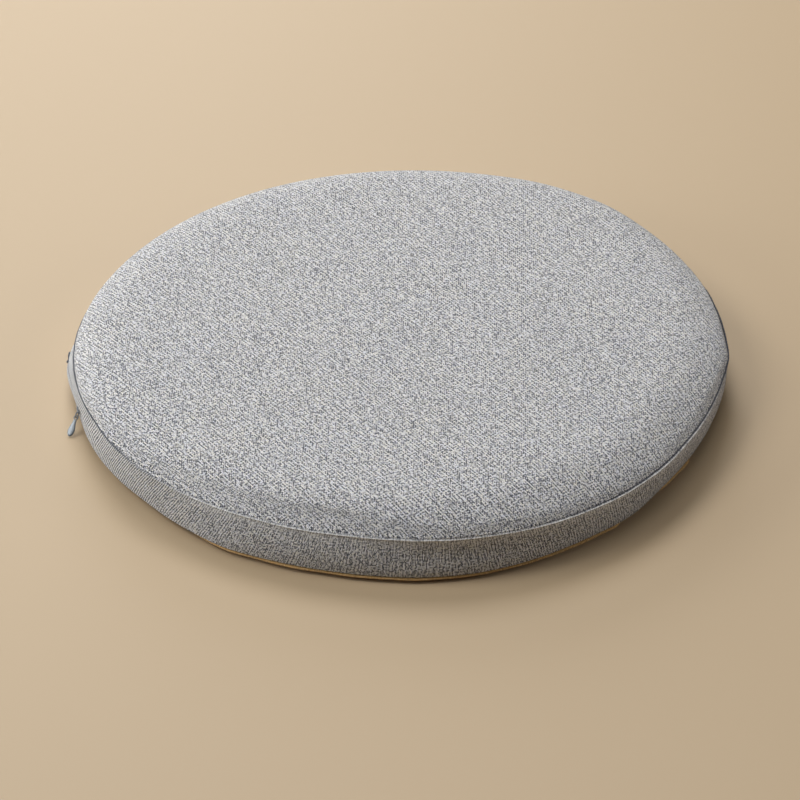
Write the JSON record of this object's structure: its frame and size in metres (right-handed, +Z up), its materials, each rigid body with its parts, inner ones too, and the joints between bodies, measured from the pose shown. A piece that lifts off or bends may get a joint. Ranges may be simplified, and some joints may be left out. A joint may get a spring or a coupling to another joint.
{
  "type": "round seat cushion",
  "caption": "Round padded seat cushion with a sewn side band, a rolled upper edge, a tan cloth underside and a concealed zip with a small drop-shaped pull.",
  "frame": {"origin": "middle of the underside, on the surface that the cushion lies on", "axes": "+Z up, out of the top panel; +X to the right and -Y towards the viewer in the picture, so the zip's pull is near -X"},
  "size_m": [0.4114, 0.3988, 0.044],
  "materials": {
    "grey_weave": "coarse plain weave of light and dark grey yarns, matt",
    "tan_cloth": "plain tan backing cloth, matt",
    "slider_metal": "dark grey enamel",
    "pull_metal": "smooth blue-grey enamel"
  },
  "bodies": {
    "root": {"cushion": "grey_weave", "base_panel": "tan_cloth", "zip_slider": "slider_metal", "zip_pull": "pull_metal"}
  },
  "joints": []
}
